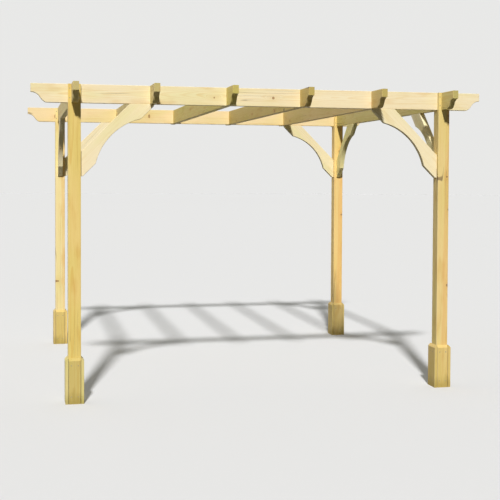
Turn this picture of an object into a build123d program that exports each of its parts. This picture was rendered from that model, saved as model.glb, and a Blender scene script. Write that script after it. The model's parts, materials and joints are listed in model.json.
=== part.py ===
"""Garden pergola: slotted posts with boarded feet, cross-halved beams and rafters, curved knee braces.

The frame stands on Z = 0 with its plan centred on the origin.
X runs along the beams, Y along the rafters and Z up. All sizes are in millimetres.
"""

import os

from build123d import *

# Frame, measured between post centres
overall_height = 2400.0
post_spacing_x = 2960.0
post_spacing_y = 2760.0
rafter_count = 6

# Posts
post_size = 95.0
post_arris = 3.0

# Beams and rafters, cut from the same timber
timber_width = 45.0
timber_depth = 140.0
beam_overhang = 320.0
rafter_overhang = 270.0
timber_arris = 2.0
housing_clearance = 0.5

# Shaped ends of the beams and rafters
end_nose = 63.0
end_cut_length = 112.0
cove_radius = 80.0
cove_sweep = 60.0

# Knee braces
brace_thickness = 45.0
brace_reach = 565.0
brace_board_width = 140.0
brace_bevel = 112.0
brace_tip_flat = 15.0
brace_hollow = 68.0
brace_arris = 2.0

# Boards round the foot of each post
collar_height = 345.0
collar_thickness = 22.0
collar_bevel = 20.0
collar_arris = 2.0
collar_gap = 3.0

# Derived sizes
underside = overall_height - timber_depth
beam_length = post_spacing_x + 2 * beam_overhang
rafter_length = post_spacing_y + 2 * rafter_overhang
housing_width = timber_width + 2 * housing_clearance
beam_halving = timber_depth / 2
rafter_halving = timber_depth - beam_halving
brace_seat = brace_board_width * 2**0.5

# Where the rafters and beams cross, and what each post is called
rafter_places = [
    post_spacing_x * (index / (rafter_count - 1) - 0.5) for index in range(rafter_count)
]
beam_places = {"front": -post_spacing_y / 2, "back": post_spacing_y / 2}
side_places = {"left": -post_spacing_x / 2, "right": post_spacing_x / 2}

UP = Vector(0, 0, 1)


def upright_plane(origin, along):
    """A vertical plane whose local X runs along a level direction and whose local Y is up."""
    return Plane(origin=origin, x_dir=along, z_dir=Vector(*along).cross(UP))


def save(piece, name):
    """Label one finished piece and write it to its own file."""
    piece.label = name
    export_step(piece, f"parts/{name}.step")


def shaped_timber(length, side, housings, housing_depth, housing_level, housing_end):
    """A board on edge with a nose, cove and ovolo at both ends, halved where others cross it."""
    with BuildPart() as timber:
        with BuildSketch(side):
            with BuildLine():
                top = Line((0, timber_depth), (length / 2, timber_depth))
                nose = Line(top @ 1, (length / 2, timber_depth - end_nose))
                cove = JernArc(nose @ 1, (-1, 0), cove_radius, cove_sweep)
                ovolo = TangentArc(cove @ 1, (length / 2 - end_cut_length, 0), tangent=cove % 1)
                Line(ovolo @ 1, (0, 0))
                mirror(about=Plane.YZ)
            make_face()
        extrude(amount=timber_width / 2, both=True)
        chamfer(timber.faces().filter_by(side).edges(), length=timber_arris)
        with BuildSketch(side):
            with Locations([(place, housing_level) for place in housings]):
                Rectangle(housing_width, housing_depth, align=(Align.CENTER, housing_end))
        extrude(amount=timber_width / 2, both=True, mode=Mode.SUBTRACT)
    return timber.part


def beam(place):
    """A beam along X, halved from above for every rafter."""
    side = upright_plane((0, place, underside), (1, 0, 0))
    return shaped_timber(beam_length, side, rafter_places, beam_halving, timber_depth, Align.MAX)


def rafter(place):
    """A rafter along Y, halved from below over both beams."""
    side = upright_plane((place, 0, underside), (0, 1, 0))
    return shaped_timber(rafter_length, side, beam_places.values(), rafter_halving, 0, Align.MIN)


def post(x, y):
    """A square post whose head is slotted both ways, leaving four horns round the crossing."""
    with BuildPart() as stick:
        with BuildSketch(Plane.XY):
            with Locations((x, y)):
                Rectangle(post_size, post_size)
        extrude(amount=overall_height)
        fillet(stick.edges().filter_by(Axis.Z), radius=post_arris)
        with BuildSketch(Plane.XY.offset(underside)):
            with Locations((x, y)):
                Rectangle(post_size, housing_width)
                Rectangle(housing_width, post_size)
        extrude(amount=timber_depth, mode=Mode.SUBTRACT)
    return stick.part


def brace(corner, along):
    """A curved knee brace in the corner under a timber, its seats flat on the post and timber."""
    side = upright_plane(corner, along)
    with BuildPart() as knee:
        with BuildSketch(side):
            with BuildLine():
                seat_start = (brace_reach - brace_seat, 0)
                seat_end = (brace_reach - brace_tip_flat, 0)
                tip = (brace_reach - brace_tip_flat, -brace_tip_flat)
                bevel_end = (brace_reach - brace_bevel, -brace_bevel)
                foot_bevel_end = (brace_bevel, brace_bevel - brace_reach)
                foot_tip = (brace_tip_flat, brace_tip_flat - brace_reach)
                foot_end = (0, brace_tip_flat - brace_reach)
                foot_start = (0, brace_seat - brace_reach)
                Polyline(foot_bevel_end, foot_tip, foot_end, foot_start, seat_start, seat_end, tip, bevel_end)
                SagittaArc(bevel_end, foot_bevel_end, -brace_hollow)
            make_face()
        extrude(amount=brace_thickness / 2, both=True)
        chamfer(knee.faces().filter_by(side).edges(), length=brace_arris)
    return knee.part


def collar_board(face_centre, outward, length):
    """One board of a post's foot, bevelled along its outer top edge and eased down its outer sides."""
    across = Vector(*outward).cross(UP)
    with BuildPart() as board:
        with BuildSketch(Plane(origin=face_centre, x_dir=outward, z_dir=across)):
            with BuildLine():
                Polyline(
                    (0, 0),
                    (collar_thickness, 0),
                    (collar_thickness, collar_height - collar_bevel),
                    (collar_thickness - collar_bevel, collar_height),
                    (0, collar_height),
                    close=True,
                )
            make_face()
        extrude(amount=length / 2, both=True)
        uprights = board.edges().filter_by(Axis.Z)
        chamfer(uprights.group_by(Axis(face_centre, outward))[-1], length=collar_arris)
    return board.part


def make_corner(depth_name, side_name):
    """The post, foot boards and two braces that stand at one corner of the frame."""
    x, y = side_places[side_name], beam_places[depth_name]
    inward_x, inward_y = (-1 if x > 0 else 1), (-1 if y > 0 else 1)
    corner_name = f"{depth_name}_{side_name}"
    half = post_size / 2
    save(post(x, y), f"post_{corner_name}")
    save(brace((x + inward_x * half, y, underside), (inward_x, 0, 0)), f"brace_{corner_name}_beam")
    save(brace((x, y + inward_y * half, underside), (0, inward_y, 0)), f"brace_{corner_name}_rafter")
    narrow = post_size - 2 * collar_gap
    wide = post_size + 2 * collar_thickness
    sides = {
        "front": (0, -1, narrow),
        "back": (0, 1, narrow),
        "left": (-1, 0, wide),
        "right": (1, 0, wide),
    }
    for name, (out_x, out_y, length) in sides.items():
        face_centre = (x + out_x * half, y + out_y * half, 0)
        save(collar_board(face_centre, (out_x, out_y, 0), length), f"collar_{corner_name}_{name}")


def main():
    os.makedirs("parts", exist_ok=True)
    for name, place in beam_places.items():
        save(beam(place), f"beam_{name}")
    for index, place in enumerate(rafter_places):
        save(rafter(place), f"rafter_{index + 1}")
    for depth_name in beam_places:
        for side_name in side_places:
            make_corner(depth_name, side_name)


main()
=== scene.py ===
"""Garden pergola of pressure-treated softwood: finishes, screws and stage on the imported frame.

X runs along the beams, Y along the rafters and Z up. All sizes are in metres.
"""

import json
import math
import random

import bmesh
import bpy
from bpy.props import FloatProperty, FloatVectorProperty, PointerProperty
from mathutils import Euler, Matrix, Vector


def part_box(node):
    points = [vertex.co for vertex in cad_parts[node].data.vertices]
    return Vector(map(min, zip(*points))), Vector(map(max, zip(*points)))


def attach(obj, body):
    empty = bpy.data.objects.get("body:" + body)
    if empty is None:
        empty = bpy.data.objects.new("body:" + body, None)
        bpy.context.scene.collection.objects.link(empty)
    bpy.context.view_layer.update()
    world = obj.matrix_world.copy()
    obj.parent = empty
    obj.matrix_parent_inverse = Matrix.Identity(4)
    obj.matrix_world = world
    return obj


bl_info = {
    "name": "Garden Pergola",
    "version": (1, 0, 0),
    "blender": (4, 5, 0),
    "location": "3D View > Sidebar > Pergola",
    "description": "Finishes the timber of a garden pergola, screws it together and lights it",
    "category": "Object",
}

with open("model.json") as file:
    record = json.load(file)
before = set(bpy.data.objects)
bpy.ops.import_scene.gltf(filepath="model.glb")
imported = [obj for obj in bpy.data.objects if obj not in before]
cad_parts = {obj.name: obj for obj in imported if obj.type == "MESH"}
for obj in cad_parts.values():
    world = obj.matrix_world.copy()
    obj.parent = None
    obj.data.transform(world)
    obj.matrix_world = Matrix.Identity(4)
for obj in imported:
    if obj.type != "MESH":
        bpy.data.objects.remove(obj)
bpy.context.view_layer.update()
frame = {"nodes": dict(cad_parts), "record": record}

SLOT_COLOURS = {slot["slot"]: slot["base_color"] for slot in frame["record"]["materials"]}
X_AXIS, Y_AXIS, UP = Vector((1, 0, 0)), Vector((0, 1, 0)), Vector((0, 0, 1))
DEPTHS, SIDES = ("front", "back"), ("left", "right")
CORNERS = [(depth, side) for depth in DEPTHS for side in SIDES]
OUTWARD = {"front": -Y_AXIS, "back": Y_AXIS, "left": -X_AXIS, "right": X_AXIS}
RAFTERS = sorted(name for name in frame["nodes"] if name.startswith("rafter_"))

# How the tone of some timbers departs from their group's colour. The rafters' tones are partly painted shade,
# darker and less blue, and the back right rafter brace's tone is partly painted light, paler.
TONES_AND_PAINTED_LIGHT = {
    "post_front_left": (0.98, 0.96, 0.80),
    "post_back_left": (1.12, 1.21, 1.50),
    "post_back_right": (1.05, 1.00, 0.95),
    "beam_front": (1.06, 1.03, 1.05),
    "beam_back": (1.04, 0.96, 0.90),
    "rafter_3": (1.03, 1.03, 0.76),
    "rafter_4": (0.91, 0.84, 0.58),
    "rafter_5": (0.96, 0.90, 0.80),
    "rafter_6": (0.90, 0.91, 0.74),
    "brace_front_left_beam": (1.03, 1.01, 1.0),
    "brace_back_right_beam": (0.96, 0.95, 0.89),
    "brace_back_right_rafter": (1.12, 1.14, 0.82),
    "collar_front_left_front": (0.82, 0.87, 0.76),
    "collar_front_left_left": (1.02, 1.14, 1.26),
    "collar_front_left_right": (1.02, 1.14, 1.26),
    "collar_back_left_right": (1.22, 1.20, 1.20),
}

# A timber's name picks its log by chance. This ending, added to the name, picks another one
OTHER_LOGS = {
    "beam_front": "_3",
    "post_back_right": "_2",
    "brace_front_left_beam": "_3",
    "brace_front_right_beam": "_5",
    "brace_back_right_beam": "_4",
    "collar_back_left_front": "_3",
    "collar_back_right_front": "_1",
}

# How much the tone of like timbers may vary by chance: from dark to pale, and from cool to warm
SHADE_RANGE = (0.97, 1.01)
WARMTH = 0.015

# Where chance lays a timber in the wood: how far the pith is from its middle, how much it leans and turns, in
# radians, and along what length, long enough that no two timbers share a place
USUAL_PITH, POST_PITH = (0.05, 0.11), (0.015, 0.05)
PITH_SIDEWAYS = 0.02
LOG_LEAN, LOG_TURN = 0.012, 0.6
LOG_LENGTH = 90

# How much wider or closer the rings of one timber may be than usual
RING_SPACING_RANGE = (0.8, 1.25)

# Radius of the heartwood in the log, where it reaches a timber at all
USUAL_HEART = 0.030
POST_HEARTS = {"post_front_left": 0.012, "post_front_right": 0.062, "post_back_right": 0.045}

# The share of branch places that hold a knot, and how strongly the rings show
USUAL_KNOTS, POST_KNOTS, BRACE_KNOTS, BOARD_KNOTS = 0.35, 0.75, 0.3, 0.4
USUAL_RINGS, BRACE_RINGS = 0.75, 0.55

# Patterns in the wood, as noise stretched for each axis with the grain along Z
WANDER, WANDER_REACH = (2.2, 2.2, 0.8), 0.030
RIPPLE, RIPPLE_REACH = (16, 16, 5), 0.0034
HEART_RAGS, HEART_RAG_REACH = (9, 9, 1.1), 0.020
FIBRES = (900, 900, 14)
STREAKS = (95, 95, 1.9)
CLOUDS = (7, 7, 1.5)
PATCHES, PATCHES_PLACE = (11, 11, 3.4), (3.7, 1.9, 8.3)
CRACKED_PLACES = (6, 6, 1.2)
AS_IT_IS = (1, 1, 1)
NOISE_ROUGHNESS = 0.55

# Knots: the size of the cells that hold one branch each, and the radius at which the cells are that wide
KNOT_CELL = 0.34
REFERENCE_RADIUS = 0.10
KNOT_SCATTER = 0.9

# The smallest knot as a share of the usual one, and how much larger chance may make it
LEAST_KNOT, KNOT_VARIETY = 0.40, 0.9

# Rings swell round a knot: by how much, over what square metres round it, and how much offsets along the
# grain count beside those across
SWELL_REACH = 0.016
SWELL_AREA = 0.00040
SWELL_SQUEEZE = 0.42

# Rings: how many of them may be gained or lost where they stand closer or wider, how fast that changes across
# and along the log, and how much late wood the faintest year has
RING_UNEVENNESS, RINGS_ACROSS, RINGS_ALONG = 2.2, 38.0, 0.1
LEAST_LATE_WOOD = 0.4

# Drying cracks: how densely they stand round the log and how straight they run
CRACKS_ROUND, CRACKS_ALONG = 26.0, 0.85

# The levels between which each part of the figure fades in
KNOT_EDGE, KNOT_RIM_EDGE = (1.06, 0.86), (0.62, 0.95)
LATE_WOOD_START, LATE_WOOD_END = (0.30, 0.90), (1.0, 0.93)
HEART_EDGE = (0.006, -0.005)
STREAK_EDGE, FIBRE_EDGE = (0.52, 0.76), (0.50, 0.72)
CLOUD_EDGE, PATCH_EDGE = (0.40, 0.66), (0.56, 0.76)
CRACK_EDGE, CRACKED_EDGE = (0.010, 0.004), (0.56, 0.64)
END_GRAIN_EDGE, ARRIS_EDGE = (0.75, 0.97), (0.25, 0.5)

# What each part of the figure does to the colour under it, and how much of that shows
LATE_WOOD = (0.91, 0.79, 0.60, 1)
HEARTWOOD, HEARTWOOD_SHARE = (0.97, 0.84, 0.76, 1), 0.8
STREAK, STREAK_SHARE = (0.93, 0.87, 0.76, 1), 1.0
FIBRE, FIBRE_SHARE = (0.88, 0.82, 0.70, 1), 0.5
CLOUD, CLOUD_SHARE = (0.93, 0.96, 0.80, 1), 0.9
PATCH, PATCH_SHARE = (0.90, 0.80, 0.66, 1), 0.8
SWELL, SWELL_SHARE = (0.88, 0.74, 0.55, 1), 0.4
END_GRAIN, END_GRAIN_SHARE = (0.64, 0.66, 0.54, 1), 0.9
KNOT_RIM = (0.60, 0.50, 0.42, 1)

# Colours that cover what is under them
# The pale colour of eased edges is partly wear and partly a painted highlight
ARRIS_WEAR_AND_PAINTED_HIGHLIGHT, ARRIS_WEAR_AND_HIGHLIGHT_SHARE = (0.92, 0.84, 0.62, 1), 0.35
CRACK, CRACK_SHARE = (0.16, 0.10, 0.05, 1), 0.85
KNOT_SHARE = 0.85

# Roughness of planed softwood and what the figure adds to it
PLANED_ROUGHNESS = 0.56
FIBRE_ROUGHNESS, LATE_ROUGHNESS, KNOT_ROUGHNESS, END_ROUGHNESS = 0.16, -0.07, -0.14, 0.12
TIMBER_SPECULAR = 0.35

# How far the figure stands out of the surface
FIBRE_RELIEF, LATE_RELIEF, STREAK_RELIEF = 0.00012, 0.00010, 0.00030
KNOT_RELIEF, CRACK_RELIEF = 0.00025, -0.0009
RELIEF_STRENGTH = 0.8

# Splashed foot of a timber: its colour, its ragged edge, and where it fades, as shares of the splash height
SPLASH, SPLASH_SHARE = (0.62, 0.60, 0.42, 1), 0.75
SPLASH_RAGS, SPLASH_RAG_REACH = (30, 30, 9), 1.3
SPLASH_TOP, SPLASH_FULL = 0.35, -0.6

# Where the screws go, and the sizes of the solids that they are measured from
SCREWS_FROM_TIP = (0.030, 0.075)
BRACE_TIP_FLAT = 0.015
BOARD_SCREW_INSET = 0.022
BOARD_SCREW_ENDS = 0.055
HORN_WIDTH = 0.0245
HORN_SCREWS = (0.035, 0.105)

# The star recess in a round screw head: how far its waist pulls in, and the slope of its wall
SCREW_SIDES = 12
STAR_WAIST = 0.74
RECESS_SLOPE = 0.1

# Dull spots on the screws
DULL_SPOTS, DULL_EDGE = (420, 420, 420), (0.40, 0.70)
DULL_STEEL = (0.24, 0.19, 0.12, 1)
STEEL_ROUGHNESS_EDGE, STEEL_ROUGHNESS = (0.30, 0.75), (0.34, 0.62)

# The key light, placed by the shadows in the photograph, and its spread in degrees
KEY_DIRECTION = (0.173, 0.740, -0.650)
KEY_SPREAD = 4.0

# The round floor's edge is this many straight sides
FLOOR_SIDES = 96

# The camera, in the photograph's place: yaw, pitch and roll in degrees, lens and sensor in millimetres
CAMERA_PLACE = (-1.8753, -9.0179, 1.7152)
CAMERA_ANGLES = (12.9258, -1.6823, 0.2473)
CAMERA_LENS = 72.09
CAMERA_SENSOR = 36.0
CAMERA_SHIFT_Y = -0.0886


def colour_property(name, description, default):
    """A colour that the user can change."""
    return FloatVectorProperty(
        name=name, description=description, default=default, subtype="COLOR", size=3, min=0.0, max=1.0
    )


def length_property(name, description, default):
    """A length that the user can change."""
    return FloatProperty(
        name=name, description=description, default=default, min=0.0, unit="LENGTH", precision=4
    )


def strength_property(name, description, default):
    """The strength of a light that the user can change."""
    return FloatProperty(name=name, description=description, default=default, min=0.0)


class PergolaTimberProperties(bpy.types.PropertyGroup):
    """Colours and figure of the timber."""

    post_colour: colour_property("Posts", "Sapwood colour of the posts", SLOT_COLOURS["post_timber"])
    beam_colour: colour_property("Beams", "Sapwood colour of the beams", SLOT_COLOURS["beam_timber"])
    rafter_colour: colour_property("Rafters", "Sapwood colour of the rafters", SLOT_COLOURS["rafter_timber"])
    brace_colour: colour_property("Braces", "Sapwood colour of the braces", SLOT_COLOURS["brace_timber"])
    foot_board_colour: colour_property(
        "Foot boards", "Sapwood colour of the foot boards", SLOT_COLOURS["collar_timber"]
    )
    knot_colour: colour_property("Knots", "Colour of the knots", (0.36, 0.20, 0.08))
    ring_spacing: length_property("Ring spacing", "Distance between two growth rings", 0.0038)
    knot_radius: length_property("Knot radius", "Usual radius of a knot", 0.010)
    splash_height: length_property("Splash height", "How far rain splashes the foot of a post", 0.11)


class PergolaScrewProperties(bpy.types.PropertyGroup):
    """Sizes and colour of the screws."""

    head_radius: length_property("Head radius", "Radius of a screw head", 0.0050)
    shank_radius: length_property("Shank radius", "Radius of a screw below its head", 0.0025)
    head_depth: length_property("Head depth", "Depth of the countersunk head", 0.0036)
    head_rise: length_property("Head rise", "How far a screw head stands out of the timber", 0.0004)
    recess_radius: length_property("Recess radius", "Radius of the star recess in a screw head", 0.0025)
    recess_depth: length_property("Recess depth", "Depth of the star recess in a screw head", 0.0016)
    colour: colour_property("Screws", "Colour of the passivated steel", (0.50, 0.44, 0.30))


class PergolaStageProperties(bpy.types.PropertyGroup):
    """Floor and lights."""

    floor_colour: colour_property("Floor", "Colour of the floor as it is seen", (0.721, 0.748, 0.788))
    bounce_colour: colour_property(
        "Floor bounce", "Colour of the floor as it lights the timber", (0.07, 0.065, 0.045)
    )
    backdrop_colour: colour_property("Backdrop", "Colour behind the floor", (0.81, 0.81, 0.80))
    floor_radius: length_property("Floor radius", "Radius of the floor", 90.0)
    key_strength: strength_property("Key light", "Strength of the key light", 3.9)
    key_colour: colour_property("Key light colour", "Colour of the key light", (1.0, 0.96, 0.92))
    soft_strength: strength_property("Soft light", "Strength of the light from the sides and above", 0.70)
    soft_colour: colour_property("Soft light colour", "Colour of the soft light", (1.0, 0.97, 0.86))
    soft_slope: strength_property("Light from behind", "How much the soft light gains towards the back", 0.50)
    soft_fall: strength_property("Less from above", "How much the soft light loses towards the zenith", 0.58)


def feed(tree, socket, value):
    """Links a socket to this input, or sets the input to this value."""
    if isinstance(value, bpy.types.NodeSocket):
        tree.links.new(value, socket)
    else:
        socket.default_value = value


def operate(tree, operation, *operands):
    """The output of a Math node whose operands are numbers or sockets."""
    node = tree.nodes.new("ShaderNodeMath")
    node.operation = operation
    for socket, operand in zip(node.inputs, operands):
        feed(tree, socket, operand)
    return node.outputs[0]


def operate_vector(tree, operation, *operands):
    """The vector output of a Vector Math node whose operands are vectors or sockets."""
    node = tree.nodes.new("ShaderNodeVectorMath")
    node.operation = operation
    for socket, operand in zip(node.inputs, operands):
        feed(tree, socket, operand)
    return node.outputs["Vector"]


def times(tree, first, second):
    """The product of two numbers or sockets."""
    return operate(tree, "MULTIPLY", first, second)


def weigh(tree, total, *parts):
    """A total to which each part is added, times its own weight."""
    for part, weight in parts:
        total = operate(tree, "MULTIPLY_ADD", part, weight, total)
    return total


def square(tree, value):
    """A number or socket times itself."""
    return operate(tree, "POWER", value, 2.0)


def distance(tree, across_squared, along):
    """How far off a point lies, from the square of one offset and the other offset."""
    return operate(tree, "SQRT", operate(tree, "ADD", across_squared, square(tree, along)))


def split(tree, vector):
    """The X, Y and Z sockets of a vector."""
    node = tree.nodes.new("ShaderNodeSeparateXYZ")
    feed(tree, node.inputs[0], vector)
    return node.outputs["X"], node.outputs["Y"], node.outputs["Z"]


def join(tree, x, y, z):
    """A vector made of three numbers or sockets."""
    node = tree.nodes.new("ShaderNodeCombineXYZ")
    for socket, value in zip(node.inputs, (x, y, z)):
        feed(tree, socket, value)
    return node.outputs[0]


def step(tree, value, edge, low=0.0, high=1.0):
    """A smooth step from low to high as the value goes from the edge's start to its end."""
    node = tree.nodes.new("ShaderNodeMapRange")
    node.interpolation_type = "SMOOTHSTEP"
    numbers = {"Value": value, "From Min": edge[0], "From Max": edge[1], "To Min": low, "To Max": high}
    for name, number in numbers.items():
        feed(tree, node.inputs[name], number)
    return node.outputs["Result"]


def noise(tree, place, scale, detail=1.0, output="Fac"):
    """Noise on a place that is first stretched by a scale for each axis."""
    node = tree.nodes.new("ShaderNodeTexNoise")
    node.noise_dimensions = "3D"
    feed(tree, node.inputs["Vector"], operate_vector(tree, "MULTIPLY", place, scale))
    node.inputs["Scale"].default_value = 1.0
    node.inputs["Detail"].default_value = detail
    node.inputs["Roughness"].default_value = NOISE_ROUGHNESS
    return node.outputs[output]


def drift(tree, place, scale, reach, detail=1.0):
    """How far a place is moved across the grain by noise."""
    both_ways = operate_vector(tree, "SUBTRACT", noise(tree, place, scale, detail, "Color"), (0.5, 0.5, 0.5))
    return operate_vector(tree, "MULTIPLY", both_ways, (reach, reach, 0.0))


def tint(tree, factor, colour, towards, kind="MIX"):
    """A colour mixed towards another by a factor."""
    node = tree.nodes.new("ShaderNodeMix")
    node.data_type = "RGBA"
    node.blend_type = kind
    feed(tree, node.inputs["Factor"], factor)
    # The colour sockets share their names with others, so they are found by number
    feed(tree, node.inputs[6], colour)
    feed(tree, node.inputs[7], towards)
    return node.outputs[2]


def opaque(colour):
    """A colour with full alpha, as the colour sockets want it."""
    return (*colour[:3], 1.0)


def new_material(name, constants):
    """A new material, its tree and its shader's inputs, of which those named are the same all over."""
    material = bpy.data.materials.new(name)
    material.use_nodes = True
    shader = material.node_tree.nodes["Principled BSDF"].inputs
    for socket, value in constants.items():
        shader[socket].default_value = value
    return material, material.node_tree, shader


def new_object(name, data):
    """A new object in the scene, at the origin."""
    thing = bpy.data.objects.new(name, data)
    bpy.context.scene.collection.objects.link(thing)
    return thing


def new_mesh(name, shape, *materials):
    """A new mesh from a bmesh, which is freed."""
    data = bpy.data.meshes.new(name)
    shape.to_mesh(data)
    shape.free()
    for material in materials:
        data.materials.append(material)
    return data


def knots_in_log(tree, given, radius, turn, z):
    """Knots, their rims and the swelling round them.

    A knot is a branch, which leaves the pith like a spoke. Turn is the way round the log, as long as it is at
    the reference radius.
    """
    cells = tree.nodes.new("ShaderNodeTexVoronoi")
    cells.voronoi_dimensions = "2D"
    cells.inputs["Scale"].default_value = 1 / KNOT_CELL
    cells.inputs["Randomness"].default_value = KNOT_SCATTER
    feed(tree, cells.inputs["Vector"], join(tree, turn, z, 0.0))
    branch_turn, branch_z, _ = split(tree, cells.outputs["Position"])
    luck, size_luck, _ = split(tree, cells.outputs["Color"])
    present = operate(tree, "LESS_THAN", luck, given["Knot share"])

    spoke = operate(tree, "DIVIDE", radius, REFERENCE_RADIUS)
    off_turn_squared = square(tree, times(tree, operate(tree, "SUBTRACT", turn, branch_turn), spoke))
    off_z = operate(tree, "SUBTRACT", z, branch_z)
    size = operate(tree, "MULTIPLY_ADD", size_luck, KNOT_VARIETY, LEAST_KNOT)
    knot_radius = times(tree, given["Knot radius"], size)
    in_knot = operate(tree, "DIVIDE", distance(tree, off_turn_squared, off_z), knot_radius)
    knot = times(tree, step(tree, in_knot, KNOT_EDGE), present)
    rim = times(tree, step(tree, in_knot, KNOT_RIM_EDGE), knot)

    off_squared = operate(tree, "ADD", off_turn_squared, square(tree, times(tree, off_z, SWELL_SQUEEZE)))
    nearness = operate(tree, "EXPONENT", operate(tree, "DIVIDE", off_squared, -SWELL_AREA))
    return knot, rim, times(tree, nearness, present)


def late_wood_in_rings(tree, spacing, ring_radius, z):
    """The dark part of each growth ring: pale early wood darkens to a sharp late edge, more in some years."""
    ring_place = join(tree, times(tree, ring_radius, RINGS_ACROSS), 0.0, times(tree, z, RINGS_ALONG))
    evenly = operate(tree, "DIVIDE", ring_radius, spacing)
    count = operate(tree, "MULTIPLY_ADD", noise(tree, ring_place, AS_IT_IS), RING_UNEVENNESS, evenly)
    part = operate(tree, "FRACT", count)
    late = times(tree, step(tree, part, LATE_WOOD_START), step(tree, part, LATE_WOOD_END))
    year = tree.nodes.new("ShaderNodeTexWhiteNoise")
    year.noise_dimensions = "1D"
    feed(tree, year.inputs["W"], operate(tree, "FLOOR", count))
    depth = operate(tree, "MULTIPLY_ADD", year.outputs["Value"], 1 - LEAST_LATE_WOOD, LEAST_LATE_WOOD)
    return times(tree, late, depth)


def heartwood_in_log(tree, place, ring_radius, heart_radius):
    """The darker core of the log, with a ragged edge."""
    rags = noise(tree, place, HEART_RAGS)
    ragged = operate(tree, "MULTIPLY_ADD", rags, HEART_RAG_REACH, -HEART_RAG_REACH / 2)
    from_edge = operate(tree, "ADD", ragged, operate(tree, "SUBTRACT", ring_radius, heart_radius))
    return step(tree, from_edge, HEART_EDGE)


def drying_cracks(tree, place, turn, z):
    """Drying cracks, which follow the spokes of the log and come and go along the timber."""
    crack_place = join(tree, times(tree, turn, CRACKS_ROUND), 0.0, times(tree, z, CRACKS_ALONG))
    level = operate(tree, "SUBTRACT", noise(tree, crack_place, AS_IT_IS, 0.0), 0.5)
    crack = step(tree, operate(tree, "ABSOLUTE", level), CRACK_EDGE)
    return times(tree, crack, step(tree, noise(tree, place, CRACKED_PLACES), CRACKED_EDGE))


def softwood_group():
    """Treated softwood cut from a log: rings, heartwood, knots, fibres and drying cracks.

    Place is a point in the log's own frame, where the pith is the Z axis. Facing is the surface's direction
    in the timber's frame, where Z runs along the grain.
    """
    tree = bpy.data.node_groups.new("treated_softwood", "ShaderNodeTree")
    kinds_given = {
        "Place": "Vector",
        "Facing": "Vector",
        "Sapwood": "Color",
        "Knot colour": "Color",
        "Ring spacing": "Float",
        "Ring depth": "Float",
        "Knot radius": "Float",
        "Knot share": "Float",
        "Heartwood radius": "Float",
    }
    kinds_made = {"Colour": "Color", "Roughness": "Float", "Relief": "Float"}
    for direction, kinds in (("INPUT", kinds_given), ("OUTPUT", kinds_made)):
        for name, kind in kinds.items():
            tree.interface.new_socket(name=name, in_out=direction, socket_type=f"NodeSocket{kind}")
    given = tree.nodes.new("NodeGroupInput").outputs
    result = tree.nodes.new("NodeGroupOutput").inputs

    # The pith wanders as it goes up the tree
    wander = drift(tree, given["Place"], WANDER, WANDER_REACH)
    ripple = drift(tree, given["Place"], RIPPLE, RIPPLE_REACH, 2.0)
    place = operate_vector(tree, "ADD", operate_vector(tree, "ADD", given["Place"], wander), ripple)
    x, y, z = split(tree, place)
    radius = distance(tree, square(tree, x), y)
    turn = times(tree, operate(tree, "ARCTAN2", y, x), REFERENCE_RADIUS)

    knot, knot_rim, swell = knots_in_log(tree, given, radius, turn, z)
    ring_radius = operate(tree, "MULTIPLY_ADD", swell, -SWELL_REACH, radius)
    late = late_wood_in_rings(tree, given["Ring spacing"], ring_radius, z)
    heart = heartwood_in_log(tree, place, ring_radius, given["Heartwood radius"])
    crack = drying_cracks(tree, place, turn, z)

    # Fibres and streaks run along the grain, clouds and patches lie over both
    fibre = noise(tree, place, FIBRES, 2.0)
    streak = noise(tree, place, STREAKS, 3.0)
    cloud = noise(tree, place, CLOUDS, 2.0)
    patch = noise(tree, operate_vector(tree, "ADD", place, PATCHES_PLACE), PATCHES, 2.0)

    # A surface across the grain shows end grain, and one askew to both sides is an eased edge
    facing_x, facing_y, facing_z = (operate(tree, "ABSOLUTE", part) for part in split(tree, given["Facing"]))
    end_grain = step(tree, facing_z, END_GRAIN_EDGE)
    arris_wear_and_highlight = times(tree, step(tree, facing_x, ARRIS_EDGE), step(tree, facing_y, ARRIS_EDGE))

    colour = given["Sapwood"]
    for part, share, towards in (
        (late, given["Ring depth"], LATE_WOOD),
        (heart, HEARTWOOD_SHARE, HEARTWOOD),
        (step(tree, streak, STREAK_EDGE), STREAK_SHARE, STREAK),
        (step(tree, fibre, FIBRE_EDGE), FIBRE_SHARE, FIBRE),
        (step(tree, cloud, CLOUD_EDGE), CLOUD_SHARE, CLOUD),
        (step(tree, patch, PATCH_EDGE), PATCH_SHARE, PATCH),
        (swell, SWELL_SHARE, SWELL),
    ):
        colour = tint(tree, times(tree, part, share), colour, towards, "MULTIPLY")
    # Eased edges are painted paler: partly wear, partly a painted highlight
    colour = tint(tree, times(tree, arris_wear_and_highlight, ARRIS_WEAR_AND_HIGHLIGHT_SHARE), colour, ARRIS_WEAR_AND_PAINTED_HIGHLIGHT)
    colour = tint(tree, times(tree, end_grain, END_GRAIN_SHARE), colour, END_GRAIN, "MULTIPLY")
    knot_figure = tint(tree, knot_rim, given["Knot colour"], KNOT_RIM, "MULTIPLY")
    colour = tint(tree, times(tree, knot, KNOT_SHARE), colour, knot_figure)
    feed(tree, result["Colour"], tint(tree, times(tree, crack, CRACK_SHARE), colour, CRACK))

    feed(tree, result["Roughness"], weigh(
        tree, PLANED_ROUGHNESS,
        (fibre, FIBRE_ROUGHNESS), (late, LATE_ROUGHNESS), (knot, KNOT_ROUGHNESS), (end_grain, END_ROUGHNESS),
    ))
    feed(tree, result["Relief"], weigh(
        tree, 0.0,
        (fibre, FIBRE_RELIEF), (late, LATE_RELIEF), (streak, STREAK_RELIEF), (knot, KNOT_RELIEF),
        (crack, CRACK_RELIEF),
    ))
    return tree


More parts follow.
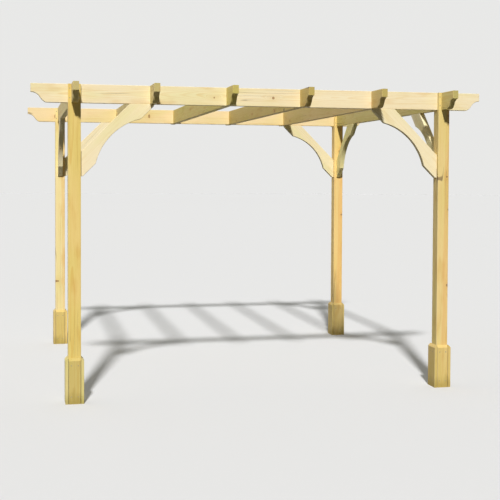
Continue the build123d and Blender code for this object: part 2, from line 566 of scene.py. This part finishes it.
def splashed(tree, place, finish, height):
    """A finish that is darkened near the ground, up to a ragged edge."""
    ragged = noise(tree, place, SPLASH_RAGS, 2.0)
    level = operate(tree, "MULTIPLY_ADD", ragged, -height * SPLASH_RAG_REACH, split(tree, place)[2])
    wet = step(tree, level, (height * SPLASH_TOP, height * SPLASH_FULL), 0.0, SPLASH_SHARE)
    return tint(tree, wet, finish, SPLASH, "MULTIPLY")


def timber_axes(grain, thin):
    """The turn from the frame's axes to the timber's: X through its thickness and Z along the grain."""
    grain, thin = grain.normalized(), thin.normalized()
    return Matrix((thin, grain.cross(thin), grain))


def lay_in_log(axes, centre, pith, luck):
    """The turn and the place that chance gives a timber in its log."""
    lean = (luck.uniform(-LOG_LEAN, LOG_LEAN), luck.uniform(-LOG_LEAN, LOG_LEAN))
    lean = Euler((*lean, luck.uniform(-LOG_TURN, LOG_TURN))).to_matrix()
    turn = Matrix.Rotation(luck.choice((0, math.pi)), 3, "Z") @ lean @ axes
    off = (luck.uniform(*pith), luck.uniform(-PITH_SIDEWAYS, PITH_SIDEWAYS), luck.uniform(0, LOG_LENGTH))
    return turn, Vector(off) - turn @ centre


def finish_timber(name, colour, grain, thin, pith=USUAL_PITH, heart=0.0, knots=USUAL_KNOTS, rings=USUAL_RINGS,
                  splash=0.0):
    """Gives one packed timber its own material: its place in a log, its grain and its colour.

    Grain is the direction of the fibres and thin the direction through the timber's least thickness. Pith
    gives the least and greatest distance from the timber's middle to the heart of the log.
    """
    settings = bpy.context.scene.pergola_timber
    luck = random.Random(name + OTHER_LOGS.get(name, ""))
    shade, warmth = luck.uniform(*SHADE_RANGE), luck.uniform(-WARMTH, WARMTH)
    own_tone = (shade * (1 + warmth), shade, shade * (1 - 2 * warmth))
    # For the rafters and the back right rafter brace, this tone is partly painted shade and painted light
    tone_and_painted_light = TONES_AND_PAINTED_LIGHT.get(name, (1, 1, 1))
    sapwood = [min(value * own * group, 1.0) for value, own, group in zip(colour, own_tone, tone_and_painted_light)]
    low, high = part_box(name)
    axes = timber_axes(grain, thin)
    turn, place = lay_in_log(axes, (low + high) / 2, pith, luck)

    material, tree, shader = new_material(f"{name}_timber", {"Specular IOR Level": TIMBER_SPECULAR})
    coordinates = tree.nodes.new("ShaderNodeTexCoord").outputs
    mapping = tree.nodes.new("ShaderNodeMapping")
    mapping.inputs["Rotation"].default_value = turn.to_euler()
    mapping.inputs["Location"].default_value = place
    feed(tree, mapping.inputs["Vector"], coordinates["Object"])
    facing = tree.nodes.new("ShaderNodeMapping")
    facing.vector_type = "VECTOR"
    facing.inputs["Rotation"].default_value = axes.to_euler()
    feed(tree, facing.inputs["Vector"], coordinates["Normal"])

    wood = tree.nodes.new("ShaderNodeGroup")
    wood.node_tree = bpy.data.node_groups.get("treated_softwood") or softwood_group()
    for socket, value in {
        "Place": mapping.outputs[0],
        "Facing": facing.outputs[0],
        "Sapwood": opaque(sapwood),
        "Knot colour": opaque(settings.knot_colour),
        "Ring spacing": settings.ring_spacing * luck.uniform(*RING_SPACING_RANGE),
        "Ring depth": rings,
        "Knot radius": settings.knot_radius,
        "Knot share": knots,
        "Heartwood radius": heart,
    }.items():
        feed(tree, wood.inputs[socket], value)
    finish = wood.outputs["Colour"]
    if splash:
        finish = splashed(tree, coordinates["Object"], finish, splash)
    bump = tree.nodes.new("ShaderNodeBump")
    bump.inputs["Strength"].default_value = RELIEF_STRENGTH
    bump.inputs["Distance"].default_value = 1.0
    feed(tree, bump.inputs["Height"], wood.outputs["Relief"])
    feed(tree, shader["Base Color"], finish)
    feed(tree, shader["Roughness"], wood.outputs["Roughness"])
    feed(tree, shader["Normal"], bump.outputs["Normal"])

    data = frame["nodes"][name].data
    data.materials.clear()
    data.materials.append(material)


def screw_head():
    """One countersunk head with a star recess, at the origin and facing up."""
    sizes = bpy.context.scene.pergola_screws
    head = bmesh.new()
    middle = Matrix.Translation((0, 0, sizes.head_rise - sizes.head_depth / 2))
    bmesh.ops.create_cone(head, cap_ends=True, segments=SCREW_SIDES, radius1=sizes.shank_radius,
                          radius2=sizes.head_radius, depth=sizes.head_depth, matrix=middle)
    top = max(head.faces, key=lambda face: face.calc_center_median().z)
    bmesh.ops.inset_region(head, faces=[top], thickness=sizes.head_radius - sizes.recess_radius)
    bmesh.ops.scale(head, verts=list(top.verts)[::2], vec=(STAR_WAIST, STAR_WAIST, 1))
    bmesh.ops.inset_region(head, faces=[top], thickness=sizes.recess_radius * RECESS_SLOPE)
    bmesh.ops.translate(head, verts=top.verts, vec=(0, 0, -sizes.recess_depth))
    bmesh.ops.recalc_face_normals(head, faces=head.faces)
    return new_mesh("screw_head", head)


def screw_material():
    """Yellow passivated steel, dulled a little by weather."""
    material, tree, shader = new_material("screw_steel", {"Metallic": 1.0})
    coordinates = tree.nodes.new("ShaderNodeTexCoord").outputs
    dull = noise(tree, coordinates["Object"], DULL_SPOTS, 3.0)
    colour = opaque(bpy.context.scene.pergola_screws.colour)
    feed(tree, shader["Base Color"], tint(tree, step(tree, dull, DULL_EDGE), colour, DULL_STEEL))
    feed(tree, shader["Roughness"], step(tree, dull, STEEL_ROUGHNESS_EDGE, *STEEL_ROUGHNESS))
    return material


def drive_screws(name, places, head, material):
    """One piece that holds the screws of like timbers, each given by its place and the way it faces."""
    mesh = bmesh.new()
    luck = random.Random(name)
    for place, out in places:
        count = len(mesh.verts)
        mesh.from_mesh(head)
        turn = Matrix.Rotation(luck.uniform(0, math.tau), 4, "Z")
        facing = out.to_track_quat("Z", "Y").to_matrix().to_4x4()
        bmesh.ops.transform(mesh, matrix=Matrix.Translation(place) @ facing @ turn, verts=mesh.verts[count:])
    piece = new_object(name, new_mesh(name, mesh, material))
    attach(piece, "root")


def brace_sides():
    """Each brace's name, the way it reaches from its post, and the direction through its thickness."""
    for depth, side in CORNERS:
        yield f"brace_{depth}_{side}_beam", -OUTWARD[side], Y_AXIS
        yield f"brace_{depth}_{side}_rafter", -OUTWARD[depth], X_AXIS


def foot_boards():
    """Each foot board's name, the way it faces and the name of its post."""
    for depth, side in CORNERS:
        for name, out in OUTWARD.items():
            yield f"collar_{depth}_{side}_{name}", out, f"post_{depth}_{side}"


def brace_screw_places():
    """Two screws through the bevel at each end of every brace."""
    places = []
    for name, along, _ in brace_sides():
        low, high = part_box(name)
        size = high.z - low.z
        corner = (low + high) / 2 - along * (size / 2) + UP * (size / 2)
        for back in SCREWS_FROM_TIP:
            near, far = BRACE_TIP_FLAT + back, size - back
            places.append((corner + along * far - UP * near, along - UP))
            places.append((corner + along * near - UP * far, along - UP))
    return places


def board_screw_places():
    """Four screws through every foot board."""
    places = []
    for name, out, post in foot_boards():
        low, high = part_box(name)
        post_low, post_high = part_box(post)
        face = (low + high) / 2 + out * (abs((high - low).dot(out)) / 2)
        reach = (post_high.x - post_low.x) / 2 - BOARD_SCREW_INSET
        for level in (low.z + BOARD_SCREW_ENDS, high.z - BOARD_SCREW_ENDS):
            for shift in (-reach, reach):
                spot = face + UP.cross(out) * shift
                places.append((Vector((spot.x, spot.y, level)), out))
    return places


def horn_screw_places():
    """Two screws through every horn of a post's head into the beam between them."""
    places = []
    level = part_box("beam_front")[0].z
    for depth, side in CORNERS:
        low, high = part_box(f"post_{depth}_{side}")
        for y, out in ((low.y, -Y_AXIS), (high.y, Y_AXIS)):
            for x in (low.x + HORN_WIDTH / 2, high.x - HORN_WIDTH / 2):
                for rise in HORN_SCREWS:
                    places.append((Vector((x, y, level + rise)), out))
    return places


class PERGOLA_OT_posts(bpy.types.Operator):
    """Give the four posts their timber"""

    bl_idname = "pergola.posts"
    bl_label = "Posts"

    def execute(self, context):
        settings = context.scene.pergola_timber
        for depth, side in CORNERS:
            name = f"post_{depth}_{side}"
            finish_timber(name, settings.post_colour, UP, X_AXIS, pith=POST_PITH, knots=POST_KNOTS,
                          heart=POST_HEARTS.get(name, USUAL_HEART), splash=settings.splash_height)
        return {"FINISHED"}


class PERGOLA_OT_beams(bpy.types.Operator):
    """Give the two beams their timber"""

    bl_idname = "pergola.beams"
    bl_label = "Beams"

    def execute(self, context):
        for depth in DEPTHS:
            colour = context.scene.pergola_timber.beam_colour
            finish_timber(f"beam_{depth}", colour, X_AXIS, Y_AXIS, heart=USUAL_HEART)
        return {"FINISHED"}


class PERGOLA_OT_rafters(bpy.types.Operator):
    """Give the six rafters their timber"""

    bl_idname = "pergola.rafters"
    bl_label = "Rafters"

    def execute(self, context):
        for name in RAFTERS:
            finish_timber(name, context.scene.pergola_timber.rafter_colour, Y_AXIS, X_AXIS, heart=USUAL_HEART)
        return {"FINISHED"}


class PERGOLA_OT_braces(bpy.types.Operator):
    """Give the eight knee braces their timber"""

    bl_idname = "pergola.braces"
    bl_label = "Braces"

    def execute(self, context):
        colour = context.scene.pergola_timber.brace_colour
        for name, along, thin in brace_sides():
            finish_timber(name, colour, along + UP, thin, knots=BRACE_KNOTS, rings=BRACE_RINGS)
        return {"FINISHED"}


class PERGOLA_OT_foot_boards(bpy.types.Operator):
    """Give the boards round the foot of each post their timber"""

    bl_idname = "pergola.foot_boards"
    bl_label = "Foot boards"

    def execute(self, context):
        settings = context.scene.pergola_timber
        for name, out, _ in foot_boards():
            finish_timber(name, settings.foot_board_colour, UP, out, knots=BOARD_KNOTS,
                          splash=settings.splash_height)
        return {"FINISHED"}


class PERGOLA_OT_screws(bpy.types.Operator):
    """Drive the screws of the braces, the foot boards and the posts' heads"""

    bl_idname = "pergola.screws"
    bl_label = "Screws"

    def execute(self, context):
        head, steel = screw_head(), screw_material()
        drive_screws("brace_screws", brace_screw_places(), head, steel)
        drive_screws("foot_board_screws", board_screw_places(), head, steel)
        drive_screws("post_head_screws", horn_screw_places(), head, steel)
        bpy.data.meshes.remove(head)
        return {"FINISHED"}


class PERGOLA_OT_stage(bpy.types.Operator):
    """Make the floor, the backdrop, the lights and the camera"""

    bl_idname = "pergola.stage"
    bl_label = "Stage"

    def execute(self, context):
        stage = context.scene.pergola_stage
        make_floor(stage)
        make_key_light(stage)
        context.scene.world = make_soft_light(stage)
        context.scene.camera = make_camera()
        context.scene.view_settings.view_transform = "Standard"
        return {"FINISHED"}


def seen_ray(tree):
    """1 for a ray that shows in the picture, in gloss and glass too, and 0 for one that only lights."""
    rays = tree.nodes.new("ShaderNodeLightPath").outputs
    mirrored = operate(tree, "MAXIMUM", rays["Is Glossy Ray"], rays["Is Transmission Ray"])
    return operate(tree, "MAXIMUM", rays["Is Camera Ray"], mirrored)


def make_floor(stage):
    """A plain round floor, wide enough to reach the horizon."""
    disc = bmesh.new()
    bmesh.ops.create_circle(
        disc, cap_ends=True, cap_tris=True, segments=FLOOR_SIDES, radius=stage.floor_radius
    )
    material, tree, shader = new_material("floor_paint", {"Roughness": 1.0, "Specular IOR Level": 0.0})
    paint = tint(tree, seen_ray(tree), opaque(stage.bounce_colour), opaque(stage.floor_colour))
    feed(tree, shader["Base Color"], paint)
    return new_object("floor", new_mesh("floor", disc, material))


def make_key_light(stage):
    """A key light from above and behind the camera."""
    key = bpy.data.lights.new("key_light", "SUN")
    key.energy = stage.key_strength
    key.color = stage.key_colour
    key.angle = math.radians(KEY_SPREAD)
    lamp = new_object("key_light", key)
    lamp.rotation_euler = Vector(KEY_DIRECTION).to_track_quat("-Z", "Y").to_euler()


def make_soft_light(stage):
    """A world that lights more from behind and less from above, and shows a plain backdrop."""
    world = bpy.data.worlds.new("soft_light")
    world.use_nodes = True
    tree = world.node_tree
    soft = tree.nodes["Background"]
    soft.inputs["Color"].default_value = opaque(stage.soft_colour)
    _, back, above = split(tree, tree.nodes.new("ShaderNodeTexCoord").outputs["Generated"])
    level = weigh(tree, stage.soft_strength, (above, -stage.soft_fall), (back, stage.soft_slope))
    feed(tree, soft.inputs["Strength"], level)
    backdrop = tree.nodes.new("ShaderNodeBackground")
    backdrop.inputs["Color"].default_value = opaque(stage.backdrop_colour)
    mix = tree.nodes.new("ShaderNodeMixShader")
    for socket, value in zip(mix.inputs, (seen_ray(tree), soft.outputs[0], backdrop.outputs[0])):
        feed(tree, socket, value)
    feed(tree, tree.nodes["World Output"].inputs["Surface"], mix.outputs[0])
    return world


def make_camera():
    """The camera at the photograph's place, at the height of a standing person's eye."""
    data = bpy.data.cameras.new("camera")
    data.sensor_width = CAMERA_SENSOR
    data.lens = CAMERA_LENS
    data.shift_y = CAMERA_SHIFT_Y
    yaw, pitch, roll = (math.radians(angle) for angle in CAMERA_ANGLES)
    forward = Vector((math.sin(yaw) * math.cos(pitch), math.cos(yaw) * math.cos(pitch), math.sin(pitch)))
    level = Vector((math.cos(yaw), -math.sin(yaw), 0))
    right = math.cos(roll) * level + math.sin(roll) * level.cross(forward)
    above = math.cos(roll) * level.cross(forward) - math.sin(roll) * level
    camera = new_object("camera", data)
    turned = Matrix((right, above, -forward)).transposed().to_4x4()
    camera.matrix_world = Matrix.Translation(CAMERA_PLACE) @ turned
    return camera


class PERGOLA_PT_panel(bpy.types.Panel):
    """The pergola's pieces and settings in the sidebar"""

    bl_idname = "PERGOLA_PT_panel"
    bl_label = "Pergola"
    bl_space_type = "VIEW_3D"
    bl_region_type = "UI"
    bl_category = "Pergola"

    def draw(self, context):
        for operator in OPERATORS:
            self.layout.operator(operator.bl_idname)
        scene = context.scene
        for settings in (scene.pergola_timber, scene.pergola_screws, scene.pergola_stage):
            box = self.layout.box()
            for name in settings.__annotations__:
                box.prop(settings, name)


OPERATORS = (
    PERGOLA_OT_posts,
    PERGOLA_OT_beams,
    PERGOLA_OT_rafters,
    PERGOLA_OT_braces,
    PERGOLA_OT_foot_boards,
    PERGOLA_OT_screws,
    PERGOLA_OT_stage,
)
CLASSES = (
    PergolaTimberProperties,
    PergolaScrewProperties,
    PergolaStageProperties,
    *OPERATORS,
    PERGOLA_PT_panel,
)


def register():
    """Makes the classes and the settings known to Blender."""
    for each in CLASSES:
        bpy.utils.register_class(each)
    bpy.types.Scene.pergola_timber = PointerProperty(type=PergolaTimberProperties)
    bpy.types.Scene.pergola_screws = PointerProperty(type=PergolaScrewProperties)
    bpy.types.Scene.pergola_stage = PointerProperty(type=PergolaStageProperties)


def unregister():
    """Takes the settings and the classes out again."""
    del bpy.types.Scene.pergola_stage
    del bpy.types.Scene.pergola_screws
    del bpy.types.Scene.pergola_timber
    for each in reversed(CLASSES):
        bpy.utils.unregister_class(each)


def main():
    """Makes the whole pergola."""
    register()
    bpy.ops.pergola.posts()
    bpy.ops.pergola.beams()
    bpy.ops.pergola.rafters()
    bpy.ops.pergola.braces()
    bpy.ops.pergola.foot_boards()
    bpy.ops.pergola.screws()
    bpy.ops.pergola.stage()


if __name__ == "__main__":
    main()
